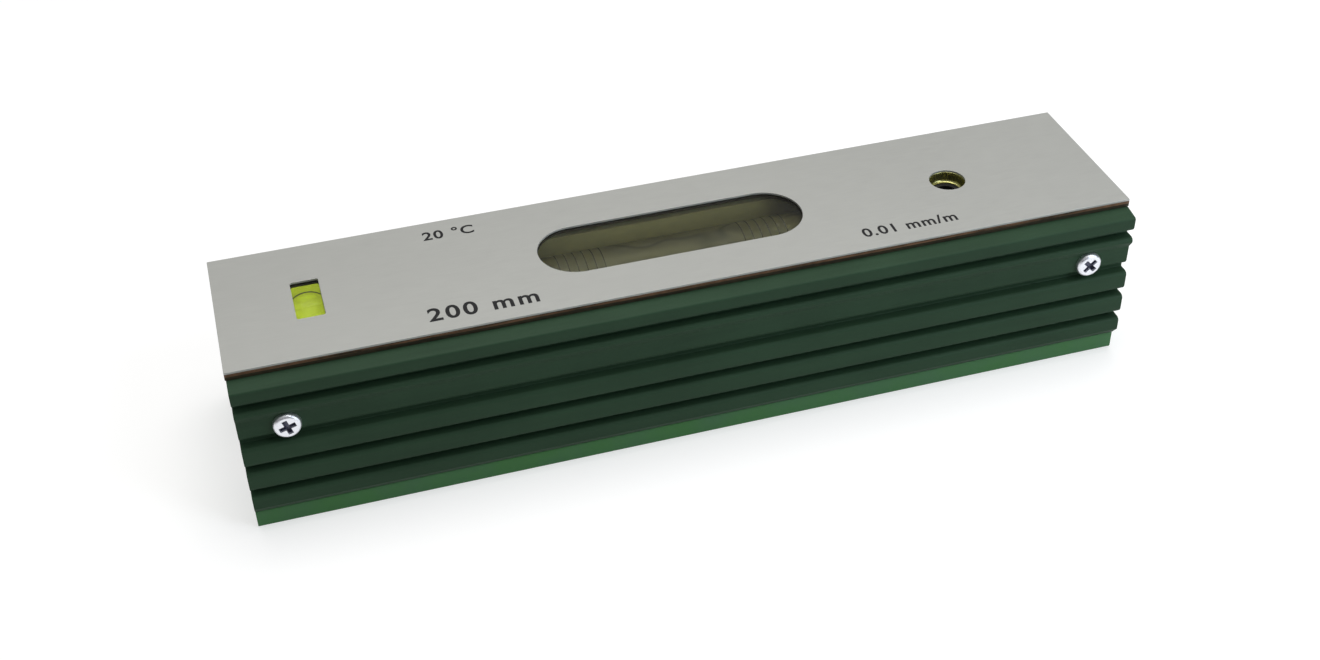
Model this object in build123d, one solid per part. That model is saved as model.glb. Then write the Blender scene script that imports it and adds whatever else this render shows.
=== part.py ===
from build123d import *
import math
import os

# Precision level for setting machines, with a flat grooved base and ribbed side covers.
# X runs along the level, the front is towards -Y, +Z is up, and the origin is the middle
# of the resting face. Every size is in millimetres.

# Overall form
level_length = 200.0
level_height = 40.0
plate_width = 40.0
end_setback = 0.2
plate_thickness = 0.5
board_thickness = 1.4

# Clearances
seat_gap = 0.05
press_gap = 0.01
running_gap = 0.05
thread_gap = 0.08
fit_gap = 0.1

# Cast body
foot_proud = 2.6
foot_height = 4.5
web_inset = 1.2
base_chamfer = 0.3
foot_edge_radius = 0.3
groove_mouth = 22.0
groove_angle = 120.0
groove_root = 2.0
pocket_corner = 2.0
pocket_floor_room = 2.0

# Ribbed side covers
cover_thickness_top = 5.2
cover_thickness_bottom = 5.6
cover_top_gap = 0.1
cover_ledge = 0.4
shoulder_drop = 0.65
shoulder_radius = 0.5
top_rib = 4.3
screw_rib = 7.9
lowest_rib_extra = 0.3
slot_height = 1.5
slot_depth = 2.6
slot_root_radius = 0.25
rib_upper_radius = 0.9
rib_lower_radius = 1.4
lip_height = 2.8
lip_slope = 1.6
lip_lower_radius = 0.8
lip_proud = 0.2
land_recess = 0.85
toe_rise = 2.1
toe_overhang = 0.1
toe_radius = 0.5
cover_hollow_depth = 1.0
cover_hollow_margin = 4.0
screw_boss_radius = 4.5

# Cover screws
cover_screw_inset = 10.2
cover_screw_radius = 1.5
cover_head_radius = 2.95
cover_head_height = 1.3
cover_head_dome = 0.9
cover_screw_bite = 4.0
cross_length = 3.6
cross_width = 1.1
cross_depth = 1.0
cross_taper = 12.0
screw_turn_left = 17.0
screw_turn_right = 44.0

# Openings in the face plate, set in from the level's ends
window_left_inset = 68.9
window_right_inset = 70.9
main_window_width = 17.4
cross_window_inset = 19.2
cross_window_length = 6.0
cross_window_width = 13.3
cross_window_corner = 0.5
access_radius = 4.1
pane_thickness = 1.0
pane_ledge = 2.0

# Screws that hold the board
board_screw_inset = 6.0
small_screw_radius = 1.25
small_head_radius = 2.4
small_head_height = 1.2
small_screw_bite = 7.0
driver_slot_width = 0.6
driver_slot_depth = 0.6

# Main vial
vial_radius = 8.0
vial_wall = 1.3
vial_beyond_window = 17.9
vial_below_body_top = 1.3
plug_thickness = 4.0
bubble_length = 32.0
bubble_depth = 1.6

# Holder of the main vial
holder_wall = 1.9
holder_floor = 1.8
holder_end_wall = 3.0
holder_edge_radius = 0.8
holder_below_body_top = 1.2
vial_side_gap = 0.8
vial_floor_gap = 0.2
bedding_length = 12.0
pivot_beyond_holder = 8.9
pivot_radius = 2.0
pivot_boss_radius = 5.0
pivot_end_recess = 0.5
washer_outer_radius = 4.0
holder_side_room = 1.5
holder_end_room = 2.0

# Adjusting end
adjuster_inset = 35.3
tongue_width = 12.0
tongue_height = 6.0
tongue_room = 3.0
nut_radius = 3.4
nut_flange_proud = 1.0
nut_flange_height = 0.8
bridge_screw_wall = 3.0
bridge_end_margin = 0.6
bridge_side_margin = 1.4
bridge_thickness = 2.0
bridge_hole_radius = 2.3
bridge_recess_depth = 1.2
bush_wall = 0.7
washer_thickness = 0.5
collar_radius = 3.2
collar_height = 2.5
adjuster_radius = 2.0
socket_across_flats = 2.5
socket_depth = 2.0
pilot_radius = 1.2
pilot_length = 3.0
pilot_shoulder_room = 1.0
spring_wire_radius = 0.4
spring_play = 0.9
spring_turns = 5.0

# Cross vial
cross_vial_radius = 4.5
cross_vial_wall = 0.9
cross_vial_length = 25.0
cross_vial_edge = 1.6
cross_vial_below_body_top = 0.8
cross_pocket_side_room = 2.0
cross_pocket_end_room = 2.0
cross_bed_thickness = 3.0
cross_bed_rise = 1.0
cross_bubble_length = 13.0
cross_bubble_depth = 1.4

# Places that follow from the sizes above
body_top = level_height - plate_thickness - board_thickness
board_top = level_height - plate_thickness
body_length = level_length - 2 * end_setback
plate_half = plate_width / 2
web_half = plate_half - web_inset
foot_half = plate_half + foot_proud
groove_half = groove_mouth / 2
groove_root_half = groove_root / 2
groove_depth = (groove_half - groove_root_half) / math.tan(math.radians(groove_angle / 2))

cover_top = body_top - cover_top_gap
cover_height = cover_top - foot_height
cover_reach_top = web_half + cover_thickness_top
cover_reach_bottom = web_half + cover_thickness_bottom
land_top = cover_top - top_rib - slot_height - lip_height
land_bottom = cover_top - top_rib - slot_height - screw_rib
lower_rib = (land_bottom - foot_height - 3 * slot_height - lowest_rib_extra) / 3
cover_screw_x = level_length / 2 - cover_screw_inset
cover_screw_z = (land_top + land_bottom) / 2

window_left = window_left_inset - level_length / 2
window_right = level_length / 2 - window_right_inset
main_window_x = (window_left + window_right) / 2
main_window_length = window_right - window_left
cross_window_x = cross_window_inset - level_length / 2
adjuster_x = level_length / 2 - adjuster_inset

vial_z = body_top - vial_below_body_top - vial_radius
bore_radius = vial_radius - vial_wall
vial_left = window_left - vial_beyond_window
vial_right = window_right + vial_beyond_window
trough_half = vial_radius + vial_side_gap
trough_floor = vial_z - vial_radius - vial_floor_gap
holder_half = trough_half + holder_wall
holder_top = body_top - holder_below_body_top
holder_bottom = trough_floor - holder_floor
holder_left = vial_left - fit_gap - holder_end_wall
holder_right = vial_right + fit_gap + holder_end_wall
pivot_x = holder_left - pivot_beyond_holder
boss_left = pivot_x - pivot_boss_radius
tongue_end = adjuster_x + tongue_width / 2
tongue_top = vial_z + tongue_height / 2
tongue_bottom = vial_z - tongue_height / 2
vial_pocket_half = holder_half + holder_side_room
tongue_pocket_half = tongue_width / 2 + tongue_room
pocket_floor = holder_bottom - pocket_floor_room
board_screw_x = level_length / 2 - board_screw_inset
board_screw_y = (web_half + vial_pocket_half) / 2

bridge_screw_y = tongue_pocket_half + bridge_screw_wall
bridge_half_length = bridge_screw_y + small_head_radius + bridge_end_margin
bridge_half_width = access_radius + bridge_side_margin
bridge_bottom = body_top - bridge_thickness
bush_inner_radius = access_radius - fit_gap
bush_outer_radius = bush_inner_radius + bush_wall
bush_bottom = body_top - bridge_recess_depth
nut_flange_radius = nut_radius + nut_flange_proud
collar_top = bridge_bottom - washer_thickness - running_gap
collar_bottom = collar_top - collar_height
pilot_top = pocket_floor + pilot_shoulder_room
pilot_bottom = pocket_floor - pilot_length
spring_radius = adjuster_radius + spring_play + spring_wire_radius

cross_vial_z = body_top - cross_vial_below_body_top - cross_vial_radius
cross_pocket_floor = cross_vial_z - cross_vial_radius - cross_bed_thickness
cross_pocket_half = cross_vial_radius + cross_pocket_side_room
cross_pocket_half_width = cross_vial_length / 2 + cross_pocket_end_room
cross_bed_top = cross_vial_z + cross_bed_rise


def box_between(x_from, x_to, half_width, z_from, z_to):
    """A block centred on the level's length, given by its ends and its heights."""
    middle = Pos((x_from + x_to) / 2, 0, (z_from + z_to) / 2)
    return middle * Box(x_to - x_from, 2 * half_width, z_to - z_from)


def upright(x, y, z_from, z_to, radius):
    """A vertical cylinder between two heights."""
    return Pos(x, y, (z_from + z_to) / 2) * Cylinder(radius, z_to - z_from)


def along_x(x_from, x_to, z, radius):
    """A cylinder along the level between two ends."""
    return Pos((x_from + x_to) / 2, 0, z) * Rot(0, 90, 0) * Cylinder(radius, x_to - x_from)


def across(x, z, y_from, y_to, radius):
    """A cylinder across the level between two sides."""
    return Pos(x, (y_from + y_to) / 2, z) * Rot(90, 0, 0) * Cylinder(radius, y_to - y_from)


def extrude_along(face, length):
    """Carry an outline, drawn in y and z, along the level."""
    end_plane = Plane(origin=(-length / 2, 0, 0), x_dir=(0, 1, 0), z_dir=(1, 0, 0))
    return extrude(end_plane * face, amount=length)


def rounded_outline(corners):
    """A closed outline from corners of (y, z, radius)."""
    points = [(y, z) for y, z, radius in corners]
    radii = [radius for y, z, radius in corners]
    return make_face(FilletPolyline(*points, radius=radii, close=True))


def body_section():
    """The casting's outline: one half from the groove's root to the web's top, and its mirror."""
    half = [
        (groove_root_half, groove_depth),
        (groove_half, 0),
        (foot_half - base_chamfer, 0),
        (foot_half, base_chamfer),
        (foot_half, foot_height - foot_edge_radius),
        (foot_half - foot_edge_radius, foot_height),
        (web_half, foot_height),
        (web_half, body_top),
    ]
    mirrored = [(-y, z) for y, z in reversed(half)]
    return Polygon(*half, *mirrored, align=None)


def pocket(x_from, x_to, half_width, z_from):
    """A pocket open at the top of the casting, with rounded corners."""
    block = box_between(x_from, x_to, half_width, z_from, level_height)
    return fillet(block.edges().filter_by(Axis.Z), pocket_corner)


def cover_screw_places():
    """Where the cover screws stand along the level."""
    return [-cover_screw_x, cover_screw_x]


def board_screw_places():
    """Where the board screws stand: four at the corners and two beside the long window."""
    rows = (-board_screw_y, board_screw_y)
    return [(x, y) for x in (-board_screw_x, main_window_x, board_screw_x) for y in rows]


def make_body():
    """The iron casting, with its pockets, tapped holes and the groove along its base."""
    body = extrude_along(body_section(), body_length)
    room_left = boss_left - holder_end_room
    room_right = holder_right + holder_end_room
    body -= pocket(room_left, room_right, vial_pocket_half, pocket_floor)
    body -= pocket(room_right - 2 * pocket_corner, tongue_end + tongue_room,
                   tongue_pocket_half, pocket_floor)
    body -= pocket(cross_window_x - cross_pocket_half, cross_window_x + cross_pocket_half,
                   cross_pocket_half_width, cross_pocket_floor)
    recess_half = bridge_half_width + fit_gap
    body -= box_between(adjuster_x - recess_half, adjuster_x + recess_half,
                        bridge_half_length + fit_gap, bridge_bottom, level_height)
    body -= upright(adjuster_x, 0, pilot_bottom - pilot_shoulder_room, pocket_floor,
                    pilot_radius + running_gap)
    body -= across(pivot_x, vial_z, -web_half, web_half, pivot_radius + press_gap)
    hole_radius = cover_screw_radius + press_gap
    hole_end = web_half - cover_screw_bite - pilot_shoulder_room
    for x in cover_screw_places():
        body -= across(x, cover_screw_z, hole_end, web_half, hole_radius)
        body -= across(x, cover_screw_z, -web_half, -hole_end, hole_radius)
    small_hole = small_screw_radius + press_gap
    small_hole_bottom = body_top - small_screw_bite - pilot_shoulder_room
    for x, y in board_screw_places():
        body -= upright(x, y, small_hole_bottom, body_top, small_hole) + countersink(x, y, board_top)
    for y in (-bridge_screw_y, bridge_screw_y):
        body -= upright(adjuster_x, y, small_hole_bottom, body_top, small_hole)
    return body


def reach_at(z):
    """How far the ribs stand out at a height: a little further towards the foot."""
    share = (z - foot_height) / cover_height
    return cover_reach_bottom + (cover_reach_top - cover_reach_bottom) * share


def slot_corners(z_top):
    """The four corners of a slot between two ribs, from the rib above to the rib below."""
    z_bottom = z_top - slot_height
    slot_root = reach_at(z_top) - slot_depth
    return [
        (reach_at(z_top), z_top, rib_lower_radius),
        (slot_root, z_top, slot_root_radius),
        (slot_root, z_bottom, slot_root_radius),
        (reach_at(z_bottom), z_bottom, rib_upper_radius),
    ]


def cover_section():
    """The cover's outline, drawn for the rear side: a sloped shoulder, five ribs and four slots.

    The second rib has a lip along its top, and under the lip a flat land for the screw heads.
    """
    first_slot = cover_top - top_rib
    second_slot = land_bottom
    third_slot = second_slot - slot_height - lower_rib
    fourth_slot = third_slot - slot_height - lower_rib
    lip_top = first_slot - slot_height
    lip_reach = reach_at(lip_top) + lip_proud
    land_reach = reach_at(land_top) - land_recess
    toe_top = foot_height + toe_rise
    toe_reach = foot_half + toe_overhang
    shoulder = [
        (web_half, foot_height, 0),
        (web_half, cover_top, 0),
        (plate_half + cover_ledge, cover_top, 0),
        (cover_reach_top, cover_top - shoulder_drop, shoulder_radius),
    ]
    lip = [
        (lip_reach, lip_top, rib_upper_radius),
        (lip_reach, land_top + lip_slope, lip_lower_radius),
        (land_reach, land_top, lip_lower_radius),
    ]
    land_end = [(land_reach, land_bottom, rib_lower_radius)]
    toe = [
        (reach_at(toe_top), toe_top, toe_radius),
        (toe_reach, foot_height, 0),
    ]
    outline = shoulder
    outline += slot_corners(first_slot)[:-1] + lip
    outline += land_end + slot_corners(second_slot)[1:]
    outline += slot_corners(third_slot) + slot_corners(fourth_slot) + toe
    return rounded_outline(outline)


def make_side_cover():
    """The rear cover: the ribbed section, hollowed behind, with a boss round each screw."""
    cover = extrude_along(cover_section(), body_length)
    hollow_middle = Pos(0, web_half + cover_hollow_depth / 2, (cover_top + foot_height) / 2)
    hollow_length = body_length - 2 * cover_hollow_margin
    hollow_height = cover_height - 2 * cover_hollow_margin
    hollow = hollow_middle * Box(hollow_length, cover_hollow_depth, hollow_height)
    for x in cover_screw_places():
        hollow -= across(x, cover_screw_z, 0, 2 * web_half, screw_boss_radius)
    cover -= hollow
    head_seat = reach_at(land_top) - land_recess
    for x in cover_screw_places():
        cover -= across(x, cover_screw_z, 0, 2 * web_half, cover_screw_radius + fit_gap)
        cover -= across(x, cover_screw_z, head_seat, 2 * web_half, cover_head_radius + fit_gap)
    return cover


def make_cover_screw():
    """One pan-head screw with a cross recess, seated at the origin with its tip towards -Z."""
    land_reach = reach_at(land_top) - land_recess
    shank_length = land_reach - web_half + cover_screw_bite
    head = Pos(0, 0, cover_head_height / 2) * Cylinder(cover_head_radius, cover_head_height)
    head = fillet(head.edges().sort_by(Axis.Z)[-1], cover_head_dome)
    cross = Rectangle(cross_length, cross_width) + Rectangle(cross_width, cross_length)
    head -= extrude(Pos(0, 0, cover_head_height) * cross, amount=-cross_depth, taper=cross_taper)
    return head + Pos(0, 0, -shank_length / 2) * Cylinder(cover_screw_radius, shank_length)


def make_cover_screws():
    """Four alike, two on each side, seated on the lands of the covers."""
    seat = reach_at(land_top) - land_recess
    screw = make_cover_screw()
    placed = []
    for x, turn in zip(cover_screw_places(), (screw_turn_left, screw_turn_right)):
        turned = Rot(0, 0, turn) * screw
        placed.append(Pos(x, -seat, cover_screw_z) * Rot(90, 0, 0) * turned)
        placed.append(Pos(x, seat, cover_screw_z) * Rot(-90, 0, 0) * turned)
    return Compound(placed)


def make_small_screw(bite):
    """One countersunk slotted screw, its head's top at the origin and its tip towards -Z."""
    head = Pos(0, 0, -small_head_height / 2) * Cone(
        small_screw_radius, small_head_radius, small_head_height)
    shank = upright(0, 0, -bite, -small_head_height, small_screw_radius)
    slot = Pos(0, 0, -driver_slot_depth / 2) * Box(
        2 * small_head_radius, driver_slot_width, driver_slot_depth)
    return head + shank - slot


def countersink(x, y, z_top):
    """The hole that a small screw's head sits in, cut down from a surface."""
    depth = small_head_height + board_thickness + bridge_thickness
    cone = Pos(x, y, z_top - small_head_height / 2) * Cone(
        small_screw_radius + press_gap, small_head_radius + press_gap, small_head_height)
    return cone + upright(x, y, z_top - depth, z_top, small_screw_radius + press_gap)


def window_shape(margin):
    """The long window's outline, enlarged by a margin."""
    length = main_window_length + 2 * margin
    return Pos(main_window_x, 0, 0) * SlotOverall(length, main_window_width + 2 * margin)


def cross_window_shape(margin):
    """The small window's outline, enlarged by a margin."""
    return Pos(cross_window_x, 0, 0) * RectangleRounded(
        cross_window_length + 2 * margin, cross_window_width + 2 * margin, cross_window_corner + margin)


def prism(shape, z_from, z_to):
    """A flat outline carried up between two heights."""
    return extrude(Pos(0, 0, z_from) * shape, amount=z_to - z_from)


def make_face_plate():
    """The aluminium plate with its three openings."""
    outline = Rectangle(level_length, plate_width)
    outline -= window_shape(0)
    outline -= cross_window_shape(0)
    outline -= Pos(adjuster_x, 0, 0) * Circle(access_radius)
    return prism(outline, board_top, level_height)


def make_insulating_board():
    """The brown board: stepped openings hold the panes, and the rest matches the plate."""
    ledge_top = board_top - pane_thickness
    board = prism(Rectangle(level_length, plate_width), body_top, board_top)
    for shape in (window_shape, cross_window_shape):
        board -= prism(shape(0), body_top, board_top)
        board -= prism(shape(pane_ledge), ledge_top, board_top)
    board -= upright(adjuster_x, 0, body_top, board_top, bush_outer_radius + press_gap)
    for x, y in board_screw_places():
        board -= countersink(x, y, board_top)
    return board


def make_pane(shape):
    """A clear pane that rests on the board's ledge and lies under the face plate."""
    return prism(shape(pane_ledge - fit_gap), board_top - pane_thickness, board_top)


def make_board_screws():
    """Countersunk screws that hold the board to the casting, hidden by the face plate."""
    screw = make_small_screw(small_screw_bite)
    return Compound([Pos(x, y, board_top) * screw for x, y in board_screw_places()])


def make_vial_holder():
    """A trough for the main vial, with the pivot boss at one end and the tongue at the other."""
    holder = box_between(holder_left, holder_right, holder_half, holder_bottom, holder_top)
    holder = fillet(holder.edges().filter_by(Axis.Z), holder_edge_radius)
    holder -= box_between(vial_left - fit_gap, vial_right + fit_gap,
                          trough_half, trough_floor, level_height)
    overlap = holder_end_wall / 2
    holder += box_between(pivot_x, holder_left + overlap, holder_half,
                          vial_z - pivot_boss_radius, vial_z + pivot_boss_radius)
    holder += across(pivot_x, vial_z, -holder_half, holder_half, pivot_boss_radius)
    holder -= across(pivot_x, vial_z, -web_half, web_half, pivot_radius + running_gap)
    holder += box_between(holder_right - overlap, adjuster_x,
                          tongue_width / 2, tongue_bottom, tongue_top)
    holder += upright(adjuster_x, 0, tongue_bottom, tongue_top, tongue_width / 2)
    holder -= upright(adjuster_x, 0, tongue_bottom, tongue_top, nut_radius)
    return holder


def make_adjusting_nut():
    """A flanged threaded bush, pressed into the tongue from below."""
    nut = upright(adjuster_x, 0, tongue_bottom, tongue_top, nut_radius - press_gap)
    nut += upright(adjuster_x, 0, tongue_bottom - nut_flange_height, tongue_bottom, nut_flange_radius)
    return nut - upright(adjuster_x, 0, tongue_bottom - nut_flange_height, tongue_top,
                         adjuster_radius + thread_gap)


def make_main_vial_glass():
    """The long glass tube, ground inside."""
    return along_x(vial_left, vial_right, vial_z, vial_radius) - along_x(
        vial_left, vial_right, vial_z, bore_radius)


def make_main_vial_plugs():
    """The two plugs that close the tube."""
    radius = bore_radius - press_gap
    left = along_x(vial_left, vial_left + plug_thickness, vial_z, radius)
    right = along_x(vial_right - plug_thickness, vial_right, vial_z, radius)
    return Compound([left, right])


def make_main_vial_liquid():
    """The liquid, with the flat-bottomed space of its bubble at the top."""
    liquid = along_x(vial_left + plug_thickness, vial_right - plug_thickness,
                     vial_z, bore_radius - press_gap)
    surface = vial_z + bore_radius - bubble_depth
    bubble_width = 2 * math.sqrt(bore_radius ** 2 - (bore_radius - bubble_depth) ** 2)
    bubble = Pos(main_window_x, 0, 0) * SlotOverall(bubble_length, bubble_width)
    return liquid - prism(bubble, surface, vial_z + vial_radius)


def make_main_vial_bedding():
    """Two cement beds that carry the vial's ends and fill the trough round its lower half."""
    beds = []
    for start in (vial_left, vial_right - bedding_length):
        bed = box_between(start, start + bedding_length, trough_half, trough_floor, vial_z)
        beds.append(bed - along_x(vial_left, vial_right, vial_z, vial_radius + seat_gap))
    return Compound(beds)


def make_pivot_pin():
    """The cross pin that the holder tilts on, held in the casting under both covers."""
    pin_half = web_half - pivot_end_recess
    return across(pivot_x, vial_z, -pin_half, pin_half, pivot_radius)


def make_pivot_washers():
    """Two washers that keep the holder's boss in the middle of its pocket."""
    inner = holder_half + running_gap
    outer = vial_pocket_half
    washer = across(pivot_x, vial_z, inner, outer, washer_outer_radius)
    washer -= across(pivot_x, vial_z, inner, outer, pivot_radius + running_gap)
    return Compound([washer, washer.mirror(Plane.XZ)])


def make_adjuster_bridge():
    """The flat bridge over the adjusting screw, with a hole for the key and a seat for the bush."""
    bridge = box_between(adjuster_x - bridge_half_width, adjuster_x + bridge_half_width,
                         bridge_half_length, bridge_bottom, body_top)
    bridge -= upright(adjuster_x, 0, bridge_bottom, body_top, bridge_hole_radius)
    bridge -= upright(adjuster_x, 0, bush_bottom, body_top, bush_outer_radius + press_gap)
    for y in (-bridge_screw_y, bridge_screw_y):
        bridge -= countersink(adjuster_x, y, body_top)
    return bridge


def make_access_bush():
    """The bush that lines the hole over the adjusting screw, from the bridge to the face plate."""
    bush = upright(adjuster_x, 0, bush_bottom, board_top, bush_outer_radius)
    return bush - upright(adjuster_x, 0, bush_bottom, board_top, bush_inner_radius)


def make_bridge_screws():
    """The two countersunk screws of the bridge."""
    screw = make_small_screw(small_screw_bite)
    return Compound([Pos(adjuster_x, y, body_top) * screw for y in (-bridge_screw_y, bridge_screw_y)])


def make_thrust_washer():
    """The washer between the bridge and the screw's collar."""
    washer_bottom = bridge_bottom - washer_thickness
    washer = upright(adjuster_x, 0, washer_bottom, bridge_bottom, collar_radius)
    return washer - upright(adjuster_x, 0, washer_bottom, bridge_bottom, bridge_hole_radius)


def make_adjusting_screw():
    """A collared screw with a hexagon socket; its pilot turns in the pocket's floor."""
    screw = upright(adjuster_x, 0, collar_bottom, collar_top, collar_radius)
    screw += upright(adjuster_x, 0, pilot_top, collar_bottom, adjuster_radius)
    screw += upright(adjuster_x, 0, pilot_bottom, pilot_top, pilot_radius)
    hexagon = RegularPolygon(radius=socket_across_flats / 2, side_count=6, major_radius=False)
    return screw - extrude(Pos(adjuster_x, 0, collar_top) * hexagon, amount=-socket_depth)


def make_adjusting_spring():
    """An open coil spring round the screw, between the pocket's floor and the nut's flange."""
    lowest = pocket_floor + spring_wire_radius + seat_gap
    highest = tongue_bottom - nut_flange_height - spring_wire_radius - seat_gap
    rise = highest - lowest
    path = Pos(adjuster_x, 0, lowest) * Helix(rise / spring_turns, rise, spring_radius)
    wire = Plane(origin=path @ 0, z_dir=path % 0) * Circle(spring_wire_radius)
    return sweep(wire, path=path, is_frenet=True)


def cross_vial_bar(radius, length, edge):
    """A round-edged bar across the level."""
    bar = across(cross_window_x, cross_vial_z, -length / 2, length / 2, radius)
    return fillet(bar.edges().filter_by(GeomType.CIRCLE), edge)


def make_cross_vial_glass():
    """The small vial: one sealed glass shell."""
    inner_radius = cross_vial_radius - cross_vial_wall
    inner_length = cross_vial_length - 2 * cross_vial_wall
    outer = cross_vial_bar(cross_vial_radius, cross_vial_length, cross_vial_edge)
    return outer - cross_vial_bar(inner_radius, inner_length, cross_vial_edge - cross_vial_wall)


def make_cross_vial_liquid():
    """Its liquid, with the space of its bubble at the top."""
    radius = cross_vial_radius - cross_vial_wall - press_gap
    length = cross_vial_length - 2 * (cross_vial_wall + press_gap)
    liquid = cross_vial_bar(radius, length, cross_vial_edge - cross_vial_wall)
    surface = cross_vial_z + radius - cross_bubble_depth
    bubble_width = 2 * math.sqrt(radius ** 2 - (radius - cross_bubble_depth) ** 2)
    bubble = Pos(cross_window_x, 0, 0) * Rot(0, 0, 90) * SlotOverall(cross_bubble_length, bubble_width)
    return liquid - prism(bubble, surface, cross_vial_z + cross_vial_radius)


def make_cross_vial_bedding():
    """The cement that fills the pocket round the lower part of the cross vial."""
    bed = box_between(cross_window_x - cross_pocket_half, cross_window_x + cross_pocket_half,
                      cross_pocket_half_width, cross_pocket_floor, cross_bed_top)
    bed = fillet(bed.edges().filter_by(Axis.Z), pocket_corner)
    return bed - cross_vial_bar(cross_vial_radius + seat_gap, cross_vial_length + 2 * seat_gap,
                                cross_vial_edge)


def make_nodes():
    """Every piece by its name."""
    rear_cover = make_side_cover()
    return {
        "body": make_body(),
        "front_side_cover": Rot(0, 0, 180) * rear_cover,
        "rear_side_cover": rear_cover,
        "cover_screws": make_cover_screws(),
        "insulating_board": make_insulating_board(),
        "board_screws": make_board_screws(),
        "face_plate": make_face_plate(),
        "main_window": make_pane(window_shape),
        "cross_window": make_pane(cross_window_shape),
        "vial_holder": make_vial_holder(),
        "adjusting_nut": make_adjusting_nut(),
        "main_vial_glass": make_main_vial_glass(),
        "main_vial_liquid": make_main_vial_liquid(),
        "main_vial_plugs": make_main_vial_plugs(),
        "main_vial_bedding": make_main_vial_bedding(),
        "pivot_pin": make_pivot_pin(),
        "pivot_washers": make_pivot_washers(),
        "adjuster_bridge": make_adjuster_bridge(),
        "access_bush": make_access_bush(),
        "bridge_screws": make_bridge_screws(),
        "thrust_washer": make_thrust_washer(),
        "adjusting_screw": make_adjusting_screw(),
        "adjusting_spring": make_adjusting_spring(),
        "cross_vial_glass": make_cross_vial_glass(),
        "cross_vial_liquid": make_cross_vial_liquid(),
        "cross_vial_bedding": make_cross_vial_bedding(),
    }


os.makedirs("parts", exist_ok=True)
for name, shape in make_nodes().items():
    export_step(shape, f"parts/{name}.step")
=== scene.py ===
"""How a 200 mm precision level looks: its casting, ribbed covers, face plate, vials and adjuster."""
import math

import bmesh
import bpy
import numpy as np
from bpy.props import FloatProperty, FloatVectorProperty, IntProperty, PointerProperty
from mathutils import Matrix, Vector


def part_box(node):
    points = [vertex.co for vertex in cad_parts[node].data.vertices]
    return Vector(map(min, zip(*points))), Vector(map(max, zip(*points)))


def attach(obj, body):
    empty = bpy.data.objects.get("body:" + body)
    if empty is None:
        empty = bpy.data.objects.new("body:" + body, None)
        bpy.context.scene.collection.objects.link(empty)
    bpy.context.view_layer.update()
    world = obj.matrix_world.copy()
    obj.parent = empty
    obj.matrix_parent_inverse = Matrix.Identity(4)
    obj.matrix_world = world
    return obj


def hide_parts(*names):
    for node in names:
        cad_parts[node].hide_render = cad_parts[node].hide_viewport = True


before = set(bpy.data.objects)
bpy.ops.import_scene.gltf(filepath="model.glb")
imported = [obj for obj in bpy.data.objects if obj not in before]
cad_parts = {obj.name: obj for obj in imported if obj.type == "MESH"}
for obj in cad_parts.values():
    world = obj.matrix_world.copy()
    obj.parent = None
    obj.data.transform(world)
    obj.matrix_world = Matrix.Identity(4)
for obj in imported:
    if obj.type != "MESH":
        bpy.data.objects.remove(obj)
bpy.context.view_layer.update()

bl_info = {
    "name": "Precision machinist level",
    "version": (1, 0, 0),
    "blender": (4, 5, 0),
    "location": "3D View > Sidebar > Level",
    "description": "Finishes a 200 mm precision level and sets up its studio",
    "category": "Object",
}

MM = 0.001

# The bodies that the pieces ride on.
BASE = "base"
CARRIER = "vial_carrier"
ADJUSTER = "adjuster"

# Points closer than WELD are one, faces within FLAT of each other are one, and edges over SHARP stay sharp.
WELD = 2e-7
FLAT = math.radians(0.4)
SHARP = math.radians(28)

# Refractive indices, and how much of a clear solid's reflection is kept.
GLASS_IOR = 1.47
PANE_IOR = 1.49
LIQUID_IOR = 1.36
CLEAR_GLOSS = (0.28, 0.28, 0.22)

# Most of a noise's range, and its middle.
BROAD = (0.3, 0.7)
MIDDLE = (0.35, 0.65)

# The primed pocket is what lies above POCKET_LOW and nearer to the body's middle than POCKET_REACH. Below
# GROUND_HIGH, faces that point down at least as steeply as DOWNWARD are ground bare.
POCKET_LOW = 7 * MM
POCKET_REACH = {"X": 98 * MM, "Y": 13.5 * MM}
GROUND_HIGH = 8 * MM
DOWNWARD = -0.84

# The plate's marks: words, X and Y of their middle, height of the letters and spacing.
MARKS = {
    "mark_sensitivity": ("0.01 mm/m", 49.5 * MM, -14.2 * MM, 4.4 * MM, 1.12),
    "mark_length": ("200 mm", -46 * MM, -14.2 * MM, 6.2 * MM, 1.2),
    "mark_temperature": ("20 °C", -48 * MM, 14.6 * MM, 4.4 * MM, 1.12),
}

# How far a liquid reaches into the glass round it, so that no air gap shows.
WETTING = 0.01 * MM

# Enamel lines on a vial: how far they sink into the glass, and their thickness.
ENAMEL_SINK = 0.002 * MM
ENAMEL_THICKNESS = 0.022 * MM

# The studio's lamps: their place, their size in metres and their colour.
LAMPS = {
    "key": ((0.06, 0.12, 0.93), 0.6, (1.0, 0.99, 0.965)),
    "front": ((0.4, -0.48, 0.72), 0.2, (0.93, 0.97, 1.0)),
    "fill": ((0.27, -0.26, 0.16), 0.22, (0.76, 0.88, 1.0)),
}


def node_box(name):
    """A CAD node's centre, half its size, and its lowest and highest corners, in metres."""
    low, high = (np.array(corner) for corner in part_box(name))
    return (low + high) / 2, (high - low) / 2, low, high


def colour_property(name, description, default):
    """A colour that a user may change."""
    return FloatVectorProperty(
        name=name, description=description, default=default, subtype="COLOR", size=3, min=0, max=1)


def length_property(name, description, millimetres):
    """A length that a user may change, written in millimetres."""
    return FloatProperty(
        name=name, description=description, default=millimetres * MM, unit="LENGTH", precision=5)


def angle_property(name, description, degrees):
    """An angle that a user may change, written in degrees."""
    return FloatProperty(
        name=name, description=description, default=math.radians(degrees), subtype="ANGLE")


def number_property(name, description, default, subtype="NONE"):
    """A plain number, or a power in watts, that a user may change."""
    return FloatProperty(name=name, description=description, default=default, subtype=subtype)


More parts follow.
